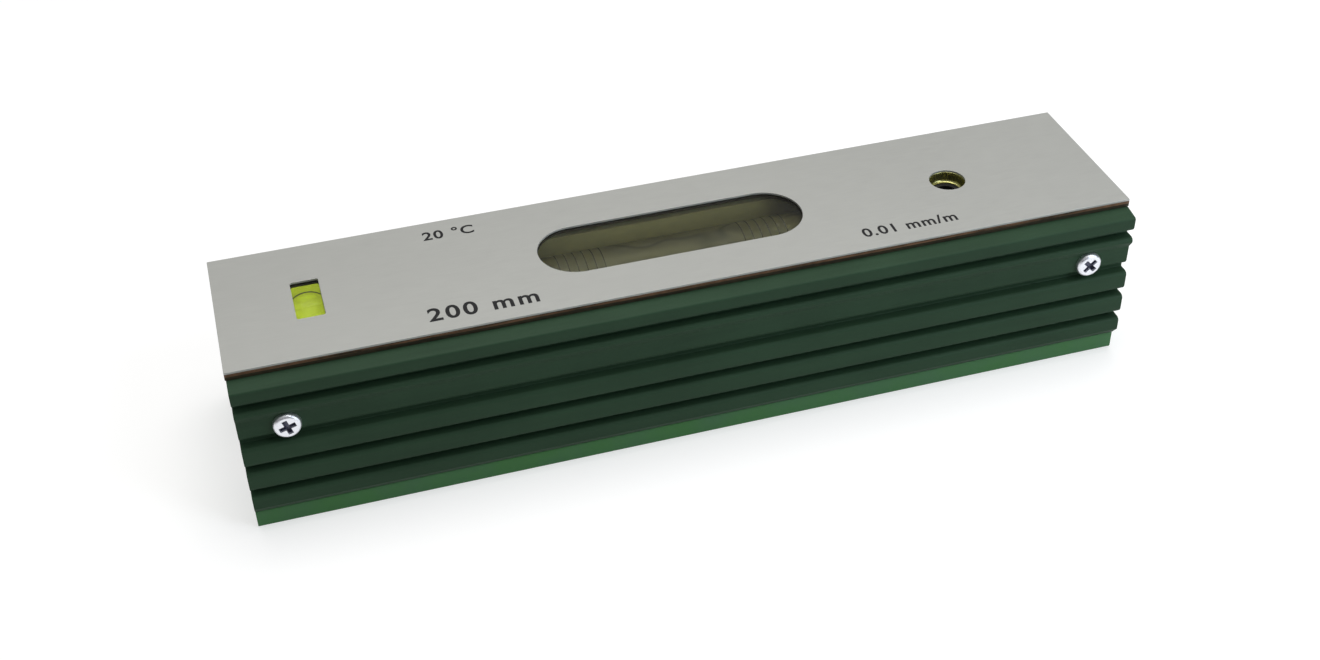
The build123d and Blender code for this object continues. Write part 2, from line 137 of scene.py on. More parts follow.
class CastingSettings(bpy.types.PropertyGroup):
    """The cast body: its paint and its ground faces."""

    paint: colour_property("Paint", "Green paint of the casting", (0.07, 0.205, 0.066))
    paint_aged: colour_property("Paint, duller", "Where the paint is duller", (0.078, 0.188, 0.088))
    primer: colour_property("Primer", "Olive primer in the pockets", (0.3, 0.275, 0.12))
    ground_iron: colour_property("Ground iron", "Bare iron of the base and its groove", (0.42, 0.42, 0.41))
    edge_radius: length_property("Edge radius", "Radius that paint leaves on the casting's edges", 0.35)


class CoverSettings(bpy.types.PropertyGroup):
    """The two ribbed side covers."""

    moulding: colour_property("Moulding", "Dark green of the covers", (0.025, 0.057, 0.03))
    edge_radius: length_property("Edge radius", "Radius of the moulded corners", 0.16)
    grain: length_property("Grain", "Depth of the fine moulded grain", 0.02)


class PlateSettings(bpy.types.PropertyGroup):
    """The face plate, the board under it and the marks on it."""

    aluminium: colour_property("Aluminium", "Satin face plate", (0.5, 0.503, 0.478))
    # The board colour is a painted highlight: a lighter, redder band along the top of the board's edge, above
    # the set height. The dark colour is the board's own.
    board: colour_property("Board", "Upper layers of the laminated board", (0.23, 0.12, 0.065))
    board_dark: colour_property("Board, dark layers", "Lower layers of the board", (0.035, 0.028, 0.013))
    board_highlight_from: length_property("Upper layers", "Height at which the board's upper layers begin", 38.85)
    marking: colour_property("Marking", "Black filling of the marks", (0.012, 0.012, 0.013))
    edge_radius: length_property("Edge radius", "Radius of the plate's edges", 0.07)
    mark_height: length_property("Mark height", "How far the filling stands above the plate", 0.004)
    mark_boldness: number_property("Boldness", "Widening of a stroke, as a share of the letters' size", 0.022)


class VialSettings(bpy.types.PropertyGroup):
    """Both vials, what they hold and the panes above them."""

    pane_tint: colour_property("Pane", "Clear pane", (0.93, 0.95, 0.9))
    glass_tint: colour_property("Glass", "Clear glass of the small vial", (0.93, 0.96, 0.9))
    ground_glass: colour_property("Ground glass", "Ground glass of the long tube", (0.44, 0.42, 0.24))
    main_liquid: colour_property("Main liquid", "Olive liquid", (0.15, 0.14, 0.055))
    cross_liquid: colour_property("Cross liquid", "Yellow-green liquid", (0.62, 0.7, 0.06))
    cement: colour_property("Pale cement", "Bed of the small vial", (0.8, 0.79, 0.68))
    dark_cement: colour_property("Olive cement", "Beds of the long vial", (0.16, 0.15, 0.08))
    bubble_length: length_property("Bubble length", "Length of the main bubble", 32)
    bubble_depth: length_property("Bubble depth", "Depth of the main bubble", 1.6)
    cross_bubble_length: length_property("Cross bubble length", "Length of the small bubble", 9.4)
    cross_bubble_depth: length_property("Cross bubble depth", "Depth of the small bubble", 1.8)
    main_wall: length_property("Main wall", "Wall of the long tube", 1.3)
    cross_wall: length_property("Cross wall", "Wall of the small vial", 0.9)
    ring_place: length_property("Ring place", "From the middle of the small vial to each ring", 5.3)
    ring_width: length_property("Ring width", "Width of each ring of the small vial", 0.4)
    meniscus: length_property("Meniscus", "Radius of the liquid's rounded edge", 0.12)
    division: length_property("Division", "Distance between two graduations", 2)
    line_width: length_property("Line width", "Width of one graduation", 0.16)
    divisions: IntProperty(name="Divisions", description="Graduations at each end of the bubble", default=6)


class AdjusterSettings(bpy.types.PropertyGroup):
    """The adjusting screw and the brass round it."""

    brass: colour_property("Brass", "Nut and bush", (0.45, 0.435, 0.18))
    holder_brass: colour_property("Holder", "Dull brass of the vial holder", (0.32, 0.295, 0.13))
    steel: colour_property("Steel", "Turned steel", (0.5, 0.5, 0.5))
    black_steel: colour_property("Blackened steel", "Bridge and adjusting screw", (0.01, 0.01, 0.011))
    pitch: length_property("Pitch", "Pitch of the adjusting screw's thread", 0.7)
    thread_depth: length_property("Thread depth", "Depth of the thread", 0.36)
    shank: length_property("Shank", "Radius over the thread", 2)
    pilot: length_property("Pilot", "Radius of the pilot under the thread", 1.2)
    pilot_length: length_property("Pilot length", "Length of the pilot", 4)
    collar_height: length_property("Collar", "Height of the collar", 2.5)
    socket: length_property("Socket", "Distance across the flats of the key's socket", 2.5)
    socket_depth: length_property("Socket depth", "Depth of the key's socket", 2)
    bush_wall: length_property("Bush wall", "Wall of the bush round the access hole", 0.7)
    bush_round: length_property("Bush round", "Radius turned into the foot of the bush", 0.6)


class FastenerSettings(bpy.types.PropertyGroup):
    """Screws that show."""

    zinc: colour_property("Zinc", "Bright zinc plating", (0.86, 0.87, 0.92))
    # The recess colour and the recess lip set painted shade: the cross recess is coloured darker from the lip
    # down.
    recess: colour_property("Recess", "What settles in the cross recess", (0.075, 0.078, 0.125))
    head_radius: length_property("Head radius", "Radius of the screws' heads", 2.95)
    recess_reach: length_property("Recess reach", "Half the span of the cross", 1.9)
    recess_shade_lip: length_property("Recess lip", "Depth below the head's top at which the soil begins", 0.35)


class StudioSettings(bpy.types.PropertyGroup):
    """The floor, the light and the camera."""

    floor: colour_property("Floor", "Pale floor", (0.5, 0.5, 0.5))
    floor_lift: number_property("Floor lift", "Brightness that only sight adds to the floor", 0.58)
    zenith: number_property("Zenith", "Strength of the sky overhead", 0.6)
    horizon: number_property("Horizon", "Strength of the sky at its edge", 0.13)
    key_power: number_property("Key", "Power of the lamp above", 5.0, "POWER")
    front_power: number_property("Front", "Power of the lamp in front", 0.9, "POWER")
    fill_power: number_property("Fill", "Power of the lamp at the right", 0.5, "POWER")
    azimuth: angle_property("Azimuth", "Camera's turn from looking along Y", 15.726)
    elevation: angle_property("Elevation", "How far the camera looks down", 37.735)
    roll: angle_property("Roll", "Camera's roll", 1.425)
    distance: length_property("Distance", "From the camera to what it aims at", 377.64)
    aim: FloatVectorProperty(
        name="Aim", description="Point that the camera aims at", size=3, subtype="TRANSLATION",
        default=(-6.563 * MM, -8.439 * MM, 20 * MM))
    lens: number_property("Lens", "Focal length in mm on a 36 mm sensor", 46.297)


SETTINGS = {
    "level_casting": CastingSettings,
    "level_covers": CoverSettings,
    "level_plate": PlateSettings,
    "level_vials": VialSettings,
    "level_adjuster": AdjusterSettings,
    "level_fasteners": FastenerSettings,
    "level_studio": StudioSettings,
}


# Meshes

def grid_quads(rows, columns):
    """Four-cornered faces between the points of a grid whose last column is joined to its first."""
    row, column = np.meshgrid(np.arange(rows - 1), np.arange(columns), indexing="ij")
    row, column = row.ravel(), column.ravel()
    beside = (column + 1) % columns
    return np.stack([row * columns + column, row * columns + beside,
                     (row + 1) * columns + beside, (row + 1) * columns + column], axis=1)


def signed_volume(mesh):
    """Six times the volume inside a closed mesh; negative if its faces point inwards."""
    mesh.calc_loop_triangles()
    corners = np.zeros(len(mesh.loop_triangles) * 3, int)
    mesh.loop_triangles.foreach_get("vertices", corners)
    points = np.zeros(len(mesh.vertices) * 3)
    mesh.vertices.foreach_get("co", points)
    triangle = points.reshape(-1, 3)[corners].reshape(-1, 3, 3)
    return float(np.einsum("ij,ij->i", triangle[:, 0], np.cross(triangle[:, 1], triangle[:, 2])).sum())


def weld(mesh, dissolve=False):
    """Merges doubled points and, if asked, flat faces, and turns a closed shell's faces outwards."""
    work = bmesh.new()
    work.from_mesh(mesh)
    bmesh.ops.remove_doubles(work, verts=work.verts, dist=WELD)
    bmesh.ops.dissolve_degenerate(work, edges=work.edges, dist=WELD)
    if dissolve:
        bmesh.ops.dissolve_limit(work, angle_limit=FLAT, verts=work.verts, edges=work.edges)
    work.to_mesh(mesh)
    work.free()
    if signed_volume(mesh) < 0:
        mesh.flip_normals()
    mesh.update()


def shade(mesh):
    """Smooth shading, broken at the sharp edges."""
    mesh.polygons.foreach_set("use_smooth", np.ones(len(mesh.polygons), bool))
    mesh.set_sharp_from_angle(angle=SHARP)


def new_mesh(name, shells, smooth=True):
    """A welded mesh from shells, each the points of a grid of rows and columns, closed round its columns."""
    points, faces, start = [], [], 0
    for shell in shells:
        rows, columns = shell.shape[:2]
        points.append(shell.reshape(-1, 3))
        faces.append(grid_quads(rows, columns) + start)
        start += rows * columns
    mesh = bpy.data.meshes.new(name)
    mesh.from_pydata(np.concatenate(points).tolist(), [], np.concatenate(faces).tolist())
    weld(mesh)
    if smooth:
        shade(mesh)
    return mesh


def add_piece(name, mesh, material, body, slot, *stands_for):
    """Puts a finished mesh into the scene, riding on a body."""
    piece = bpy.data.objects.new(name, mesh)
    bpy.context.scene.collection.objects.link(piece)
    mesh.materials.clear()
    mesh.materials.append(material)
    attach(piece, body)
    if stands_for:
        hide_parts(*stands_for)
    return piece


def softened_copy(name, node, radius, material, body, slot):
    """A welded copy of a CAD node that stands for it, with rounded edges."""
    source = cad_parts[node].data
    points = np.zeros(len(source.vertices) * 3)
    source.vertices.foreach_get("co", points)
    corners = np.zeros(len(source.loops), int)
    source.loops.foreach_get("vertex_index", corners)
    mesh = bpy.data.meshes.new(name)
    mesh.from_pydata(points.reshape(-1, 3).tolist(), [], corners.reshape(-1, 3).tolist())
    weld(mesh, dissolve=True)
    shade(mesh)
    bevel = add_piece(name, mesh, material, body, slot, node).modifiers.new("Rounded edges", "BEVEL")
    bevel.width = radius
    bevel.segments = 3
    bevel.limit_method = "ANGLE"
    bevel.angle_limit = SHARP
    bevel.harden_normals = True


def full_turn(steps):
    """Evenly spaced angles all the way round."""
    return np.linspace(0, 2 * math.pi, steps, endpoint=False)


def revolved(profile, steps, centre, axis):
    """A surface of revolution: a profile point, given as its distance along the axis and its radius, lies at
    the radius times each angle's cosine and sine."""
    along, radius = np.asarray(profile, float).T
    reach, angle = np.meshgrid(radius, full_turn(steps), indexing="ij")
    first, second = reach * np.cos(angle), reach * np.sin(angle)
    level = np.broadcast_to(along[:, None], first.shape)
    order = {"X": (level, first, second), "Y": (second, level, first), "Z": (first, second, level)}[axis]
    return np.stack(order, axis=-1) + np.asarray(centre)


def laid_along(axis, along, radius, angle, centre):
    """Points round an X or Y axis, where the angle 0 is at the top."""
    sideways, up = radius * np.sin(angle), radius * np.cos(angle)
    order = {"X": (along, sideways, up), "Y": (sideways, along, up)}[axis]
    return np.stack(order, axis=-1) + np.asarray(centre)


def arc(centre_along, centre_radius, radius, start, end, steps=6):
    """Points of an arc in a profile, from one angle to another in degrees, each at its centre plus the
    radius times the angle's sine and cosine."""
    angle = np.radians(np.linspace(start, end, steps))
    return np.stack([centre_along + radius * np.sin(angle), centre_radius + radius * np.cos(angle)], axis=1)


def bar_profile(half_length, radius, edge):
    """From pole to pole, the side of a round bar with rounded edges."""
    return np.concatenate([
        [[-half_length, 0]],
        arc(-half_length + edge, radius - edge, edge, -90, 0),
        arc(half_length - edge, radius - edge, edge, 0, 90),
        [[half_length, 0]]])


def vial_liquid(half_length, radius, edge, bubble, steps, rows):
    """The liquid's surface as distance along the axis and radius, for each row and angle.

    Outside the bubble it is the bore's wall. Under the bubble it is a flat water line, whose distance
    from the axis is its height over the cosine of the angle. Its depth is full in the middle and falls
    to nothing at the ends, as the root of one less the fourth power of the place, and beyond the ends the
    line lies outside the wall. The smaller of the two distances is taken with a rounded change, which is
    the meniscus. The bubble is its length, its depth, its place along the axis and its meniscus.
    """
    length, depth, offset, meniscus = bubble
    straight = half_length - edge
    evenly = np.linspace(-1, 1, rows)
    near_end = offset + np.abs(evenly) ** 0.5 * np.sign(evenly) * length * 0.08
    middle = np.concatenate([evenly * straight, near_end - length / 2, near_end + length / 2])
    middle = np.unique(np.clip(middle, -straight, straight))
    wall = bar_profile(half_length, radius, edge)
    count = len(wall) // 2
    side = np.stack([middle, np.full(len(middle), radius)], axis=1)
    along, reach = np.concatenate([wall[:count], side, wall[count:]]).T
    across = np.abs(along - offset) / (length / 2)
    inside = np.clip(1 - across ** 4, 0, None) ** 0.5
    outside = 8 * np.clip(across - 1, 0, 1)
    height = radius - depth * (inside - outside)
    angle = full_turn(steps)
    upward_only = np.clip(np.cos(angle), 0.05, None)
    flat = height[:, None] / upward_only[None, :]
    wall_reach = np.broadcast_to(reach[:, None], flat.shape)
    surface = wall_reach - meniscus * np.logaddexp(0, (wall_reach - flat) / meniscus)
    surface = np.where(wall_reach > 0, np.clip(surface, 0, None), 0)
    return np.broadcast_to(along[:, None], surface.shape), surface, angle


def liquid_shell(centre, axis, *shape):
    """The liquid's surface turned about the X or Y axis, with the bubble at the top."""
    along, radius, angle = vial_liquid(*shape)
    return laid_along(axis, along, radius, angle, centre)


def enamel_lines(centre, axis, tube_radius, places, width, half_angles, steps=28):
    """Thin bands on a tube: a small rectangle carried along an arc over the top, one band a place. Each
    angle is the arc's reach to either side."""
    shells = []
    rectangle = np.array([(-1, 0), (1, 0), (1, 1), (-1, 1)])
    for place, half_angle in zip(places, half_angles):
        angle = np.linspace(-half_angle, half_angle, steps)[:, None]
        along = np.broadcast_to(place + rectangle[:, 0] * width / 2, (steps, 4))
        reach = tube_radius - ENAMEL_SINK + rectangle[:, 1] * ENAMEL_THICKNESS
        band = laid_along(axis, along, reach, angle, centre)
        ends = [np.broadcast_to(band[end].mean(axis=0), (1, 4, 3)) for end in (0, -1)]
        shells.append(np.concatenate([ends[0], band, ends[1]]))
    return shells


def thread_shell(centre, low, high, core, depth, pitch, steps=48):
    """A single-start thread: the radius rises from the core by the depth, along a V with its tip and root
    cut flat.

    The phase at a place is its height over the pitch, less its angle over a full turn. The thread fades
    out over one pitch at both ends.
    """
    rows_a_turn = 10
    rows = int((high - low) / pitch * rows_a_turn) + 1
    height, turn = np.meshgrid(np.linspace(low, high, rows), full_turn(steps), indexing="ij")
    phase = (height / pitch - turn / (2 * math.pi)) % 1
    tooth = np.clip(1.25 * (1 - np.abs(2 * phase - 1)) - 0.12, 0, 1)
    fade = np.clip(np.minimum(height - low, high - height) / pitch, 0, 1)
    radius = core + depth * tooth * fade
    wall = np.stack([radius * np.cos(turn), radius * np.sin(turn), height], axis=-1)
    bottom = np.broadcast_to([0, 0, low], (1, steps, 3))
    top = np.broadcast_to([0, 0, high], (1, steps, 3))
    return np.concatenate([bottom, wall, top]) + np.array([centre[0], centre[1], 0])


def collar_shell(centre, low, high, radius, socket, depth, steps=96):
    """A collar with a hexagon socket: the socket's radius at an angle is half its width across the flats
    over the cosine of the angle's distance from the nearest flat's middle."""
    angle = full_turn(steps)
    sixth = math.pi / 3
    hexagon = socket / 2 / np.cos((angle + sixth / 2) % sixth - sixth / 2)
    middle = np.zeros(steps)
    rim = middle + radius
    edge, chamfer = 0.25 * MM, 0.15 * MM
    rows = [(low, middle), (low, rim - edge), (low + edge, rim), (high - edge, rim), (high, rim - edge),
            (high, hexagon + chamfer), (high - chamfer, hexagon), (high - depth, hexagon),
            (high - depth - socket / 8, middle)]
    reach = np.array([row for _, row in rows])
    height = np.broadcast_to(np.array([z for z, _ in rows])[:, None], reach.shape)
    return np.stack([centre[0] + reach * np.cos(angle), centre[1] + reach * np.sin(angle), height], axis=-1)


# Materials

def add_node(tree, kind, sockets=None, **settings):
    """A new node with its settings; each socket gets a link from another node's output, or a plain value,
    to which a colour's alpha is added."""
    node = tree.nodes.new(kind)
    for name, value in settings.items():
        setattr(node, name, value)
    for name, value in (sockets or {}).items():
        socket = node.inputs[name]
        if isinstance(value, bpy.types.NodeSocket):
            tree.links.new(value, socket)
        else:
            socket.default_value = (*value, 1) if socket.type == "RGBA" else value
    return node


def new_material(name):
    """An empty material and its node tree."""
    material = bpy.data.materials.new(name)
    material.use_nodes = True
    material.node_tree.nodes.clear()
    return material, material.node_tree


def place_on(tree, scale=(1, 1, 1)):
    """Object coordinates in metres, scaled; a pattern is drawn out along an axis whose scale is small."""
    source = add_node(tree, "ShaderNodeTexCoord").outputs["Object"]
    return add_node(tree, "ShaderNodeMapping", {"Vector": source, "Scale": scale}).outputs["Vector"]


def noise(tree, size, detail=3, scale=(1, 1, 1)):
    """Even noise, from 0 to 1, with features of about that size in metres."""
    node = add_node(tree, "ShaderNodeTexNoise",
                    {"Vector": place_on(tree, scale), "Scale": 1 / size, "Detail": detail})
    return node.outputs["Fac"]


def coordinates(tree):
    """The X, Y and Z of Object coordinates."""
    return add_node(tree, "ShaderNodeSeparateXYZ", {0: place_on(tree)}).outputs


def spread(tree, value, low, high, to_low=0.0, to_high=1.0):
    """Maps a range of values to another."""
    node = add_node(tree, "ShaderNodeMapRange", {
        "Value": value, "From Min": low, "From Max": high, "To Min": to_low, "To Max": to_high})
    return node.outputs["Result"]


def between(tree, factor, first, second):
    """A colour between two, by a factor; the mixing node keeps its colours in sockets 6 and 7."""
    return add_node(tree, "ShaderNodeMix", {0: factor, 6: first, 7: second}, data_type="RGBA").outputs[2]


def scaled(colour, factor):
    """A colour with each channel times a factor."""
    return tuple(channel * factor for channel in colour)


def calculate(tree, operation, first, second=0.0):
    """The result of one operation on one or two values."""
    return add_node(tree, "ShaderNodeMath", {0: first, 1: second}, operation=operation).outputs[0]


def unsigned(tree, value):
    """A value without its sign."""
    return calculate(tree, "ABSOLUTE", value)


def blended(tree, first, share, second):
    """The first value times its share, plus the second times what is left of one."""
    return calculate(tree, "ADD", calculate(tree, "MULTIPLY", first, share),
                     calculate(tree, "MULTIPLY", second, 1 - share))


def raised(tree, height, depth):
    """A surface normal from a height map whose full range is that depth in metres."""
    node = add_node(tree, "ShaderNodeBump", {"Height": height, "Distance": depth, "Strength": 1.0})
    return node.outputs["Normal"]


def surface(tree, shader):
    """Ends a material with that shader."""
    add_node(tree, "ShaderNodeOutputMaterial", {"Surface": shader})


def principled(tree, sockets):
    """The general shader with those sockets set."""
    return add_node(tree, "ShaderNodeBsdfPrincipled", sockets).outputs["BSDF"]


def painted_iron(settings):
    """Brush-painted casting; its pockets keep their primer, and the base and its groove are ground bare."""
    material, tree = new_material("painted_iron")
    cloud = noise(tree, 14 * MM)
    peel = noise(tree, 1.1 * MM, detail=2)
    place = coordinates(tree)
    edge = 0.2 * MM
    inside = spread(tree, place["Z"], POCKET_LOW, POCKET_LOW + edge)
    for axis, reach in POCKET_REACH.items():
        within = spread(tree, unsigned(tree, place[axis]), reach, reach + edge, 1, 0)
        inside = calculate(tree, "MULTIPLY", inside, within)
    outer_paint = between(tree, spread(tree, cloud, *MIDDLE), settings.paint, settings.paint_aged)
    paint = between(tree, inside, outer_paint, settings.primer)
    normal = add_node(tree, "ShaderNodeNewGeometry").outputs["True Normal"]
    facing = add_node(tree, "ShaderNodeSeparateXYZ", {0: normal}).outputs["Z"]
    downward = spread(tree, facing, DOWNWARD, DOWNWARD + 0.04, 1, 0)
    low = spread(tree, place["Z"], GROUND_HIGH, GROUND_HIGH + edge, 1, 0)
    ground = calculate(tree, "MULTIPLY", downward, low)
    grinding = noise(tree, 0.12 * MM, detail=4, scale=(0.02, 1, 1))
    iron = between(tree, grinding, scaled(settings.ground_iron, 0.8), settings.ground_iron)
    colour = between(tree, ground, paint, iron)
    paint_roughness = spread(tree, cloud, *BROAD, 0.42, 0.52)
    iron_roughness = spread(tree, grinding, *BROAD, 0.22, 0.36)
    roughness = add_node(tree, "ShaderNodeMix", {0: ground, 2: paint_roughness, 3: iron_roughness}).outputs[0]
    surface(tree, principled(tree, {
        "Base Color": colour, "Metallic": ground, "Roughness": roughness,
        "Specular IOR Level": 0.14, "Normal": raised(tree, peel, 0.03 * MM)}))
    return material


def moulded_plastic(settings):
    """Dark green moulding with a fine grain."""
    material, tree = new_material("moulded_plastic")
    cloud = noise(tree, 22 * MM)
    grain = noise(tree, 0.32 * MM, detail=2)
    flow = noise(tree, 2.2 * MM, scale=(0.08, 1, 1))
    tone = spread(tree, blended(tree, cloud, 0.6, flow), *MIDDLE)
    colour = between(tree, tone, scaled(settings.moulding, 0.88), scaled(settings.moulding, 1.1))
    surface(tree, principled(tree, {
        "Base Color": colour, "Roughness": spread(tree, grain, *BROAD, 0.52, 0.64),
        "Specular IOR Level": 0.14, "Normal": raised(tree, grain, settings.grain)}))
    return material


def satin_aluminium(settings):
    """Satin plate, finely grained along its length."""
    material, tree = new_material("satin_aluminium")
    grain = noise(tree, 0.12 * MM, detail=4, scale=(0.03, 1, 1))
    speck = noise(tree, 0.18 * MM, detail=2)
    cloud = noise(tree, 45 * MM)
    tone = spread(tree, blended(tree, grain, 0.7, cloud), *MIDDLE)
    colour = between(tree, tone, scaled(settings.aluminium, 0.955), scaled(settings.aluminium, 1.03))
    surface(tree, principled(tree, {
        "Base Color": colour, "Metallic": 0.6, "Roughness": spread(tree, grain, *BROAD, 0.5, 0.6),
        "Normal": raised(tree, speck, 0.002 * MM)}))
    return material


def laminated_board(settings):
    """Brown board whose thin layers show along its edge, with a painted highlight that makes the edge lighter
    and redder above a given height.
    """
    material, tree = new_material("laminated_board")
    layers = noise(tree, 0.35 * MM, scale=(0.02, 0.02, 1))
    mottle = noise(tree, 1.5 * MM)
    tone = spread(tree, blended(tree, layers, 0.8, mottle), *MIDDLE)
    edge = 0.08 * MM
    # Painted highlight: above this height the edge is coloured lighter and redder.
    change = spread(tree, coordinates(tree)["Z"], settings.board_highlight_from - edge, settings.board_highlight_from + edge)
    brown_and_highlight = between(tree, change, settings.board_dark, settings.board)
    colour = between(tree, tone, scaled(settings.board_dark, 0.5), brown_and_highlight)
    surface(tree, principled(tree, {
        "Base Color": colour, "Roughness": 0.55, "Specular IOR Level": 0.3,
        "Normal": raised(tree, layers, 0.02 * MM)}))
    return material


def turned_metal(name, colour, roughness, scale=(1, 1, 0.15), size=0.2 * MM, metallic=1.0):
    """Metal with fine tool marks of that size, drawn out along the axis whose scale is small."""
    material, tree = new_material(name)
    marks = noise(tree, size, scale=scale)
    tone = between(tree, spread(tree, marks, *BROAD), scaled(colour, 0.85), colour)
    surface(tree, principled(tree, {
        "Base Color": tone, "Metallic": metallic,
        "Roughness": spread(tree, marks, *BROAD, roughness - 0.06, roughness + 0.06),
        "Normal": raised(tree, marks, 0.004 * MM)}))
    return material


def zinc_plating(settings):
    """Bright bluish zinc, slightly mottled, with painted shade that darkens the cross recess.

    The painted shade covers what lies deeper than the recess's lip and nearer to the screw's axis than its
    arms reach.
    """
    material, tree = new_material("zinc_plating")
    centre, _, _, high = node_box("cover_screws")
    axis_x = high[0] - settings.head_radius
    place = coordinates(tree)
    sideways = calculate(tree, "SUBTRACT", unsigned(tree, place["X"]), axis_x)
    upwards = calculate(tree, "SUBTRACT", place["Z"], centre[2])
    squares = [calculate(tree, "MULTIPLY", value, value) for value in (sideways, upwards)]
    reach = calculate(tree, "SQRT", calculate(tree, "ADD", *squares))
    edge = 0.1 * MM
    near_axis = spread(tree, reach, settings.recess_reach, settings.recess_reach + edge, 1, 0)
    lip = high[1] - settings.recess_shade_lip
    deep = spread(tree, unsigned(tree, place["Y"]), lip - edge, lip, 1, 0)
    # Painted shade: inside the cross recess the zinc is coloured dark blue-grey and made less metallic.
    painted_recess_shade = calculate(tree, "MULTIPLY", near_axis, deep)
    spangle = noise(tree, 0.7 * MM)
    bright = between(tree, spangle, scaled(settings.zinc, 0.93), settings.zinc)
    metal = spread(tree, painted_recess_shade, 0, 1, 0.9, 0.2)
    surface(tree, principled(tree, {
        "Base Color": between(tree, painted_recess_shade, bright, settings.recess), "Metallic": metal,
        "Roughness": spread(tree, spangle, *BROAD, 0.26, 0.38)}))
    return material


def cast_cement(name, colour):
    """Cement with pores."""
    material, tree = new_material(name)
    pores = noise(tree, 0.6 * MM, detail=5)
    surface(tree, principled(tree, {
        "Base Color": between(tree, pores, scaled(colour, 0.75), colour), "Roughness": 0.85,
        "Normal": raised(tree, pores, 0.1 * MM)}))
    return material


def dull_black(name, colour):
    """Dull black stuff, such as the filling of a mark or a plug."""
    material, tree = new_material(name)
    tone = between(tree, noise(tree, 0.25 * MM), scaled(colour, 0.8), scaled(colour, 1.2))
    surface(tree, principled(tree, {"Base Color": tone, "Roughness": 0.6, "Specular IOR Level": 0.3}))
    return material


def clear_solid(name, tint, ior, size, roughness=0.0, waviness=0.0, clearness=1.0, streaks=0.0, painted_glow=0.0):
    """Glass or liquid that bends what is seen through it, and lets the lamps reach what is inside.

    What it lacks in clearness it scatters. The waviness is the height of waves of the given size. Streaks
    darkens the thin lines along which slow noise is at its middle. The painted glow is emission, painted
    light that brightens the liquid where little light reaches it; it is no lamp.
    """
    material, tree = new_material(name)
    waves = noise(tree, size, detail=2)
    tone = between(tree, waves, scaled(tint, 0.96), tint)
    if streaks:
        slow = noise(tree, size * 2, detail=2, scale=(0.6, 1, 1))
        apart = unsigned(tree, calculate(tree, "SUBTRACT", slow, 0.5))
        tone = between(tree, spread(tree, apart, 0.004, 0.03), scaled(tint, 1 - streaks), tone)
    glass = principled(tree, {
        "Base Color": tone, "Transmission Weight": clearness, "IOR": ior, "Roughness": roughness,
        "Emission Color": tint, "Emission Strength": painted_glow, "Specular Tint": CLEAR_GLOSS,
        "Normal": raised(tree, waves, waviness)})
    half_tint = tuple(channel ** 0.5 for channel in tint)
    passing = add_node(tree, "ShaderNodeBsdfTransparent", {"Color": half_tint}).outputs[0]
    to_lamp = add_node(tree, "ShaderNodeLightPath").outputs["Is Shadow Ray"]
    surface(tree, add_node(tree, "ShaderNodeMixShader", {0: to_lamp, 1: glass, 2: passing}).outputs[0])
    return material


def studio_floor(settings):
    """A pale floor that keeps the shadow; sight alone gets a little more light from it."""
    material, tree = new_material("studio_floor")
    lit = add_node(tree, "ShaderNodeBsdfDiffuse", {"Color": settings.floor}).outputs[0]
    paths = add_node(tree, "ShaderNodeLightPath").outputs
    reflected = calculate(tree, "MAXIMUM", paths["Is Glossy Ray"], paths["Is Transmission Ray"])
    seen = calculate(tree, "MAXIMUM", paths["Is Camera Ray"], reflected)
    strength = calculate(tree, "MULTIPLY", seen, settings.floor_lift)
    lift = add_node(tree, "ShaderNodeEmission", {"Color": (1.0, 1.0, 1.0), "Strength": strength}).outputs[0]
    surface(tree, add_node(tree, "ShaderNodeAddShader", {0: lit, 1: lift}).outputs[0])
    return material


def give(material, *nodes):
    """Gives CAD nodes their material."""
    for name in nodes:
        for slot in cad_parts[name].material_slots:
            slot.material = material


# Pieces

class LevelOperator:
    """What the level's operators share: each appears in the undo list."""

    bl_options = {"REGISTER", "UNDO"}


class LEVEL_OT_finish_casting(LevelOperator, bpy.types.Operator):
    """Paints the casting, softens its edges and leaves its base ground bare"""

    bl_idname = "level.finish_casting"
    bl_label = "Casting"

    def execute(self, context):
        settings = context.scene.level_casting
        softened_copy("body_casting", "body", settings.edge_radius,
                      painted_iron(settings), BASE, "body_paint")
        return {"FINISHED"}


class LEVEL_OT_finish_covers(LevelOperator, bpy.types.Operator):
    """Gives the ribbed covers their moulded finish and rounded corners"""

    bl_idname = "level.finish_covers"
    bl_label = "Side covers"

    def execute(self, context):
        settings = context.scene.level_covers
        plastic = moulded_plastic(settings)
        for side in ("front", "rear"):
            softened_copy(f"{side}_cover_moulding", f"{side}_side_cover", settings.edge_radius,
                          plastic, BASE, "cover_plastic")
        return {"FINISHED"}


class LEVEL_OT_finish_plate(LevelOperator, bpy.types.Operator):
    """Makes the satin face plate and finishes the board under it"""

    bl_idname = "level.finish_plate"
    bl_label = "Face plate and board"

    def execute(self, context):
        settings = context.scene.level_plate
        softened_copy("face_plate_satin", "face_plate", settings.edge_radius,
                      satin_aluminium(settings), BASE, "face_aluminium")
        give(laminated_board(settings), "insulating_board")
        return {"FINISHED"}


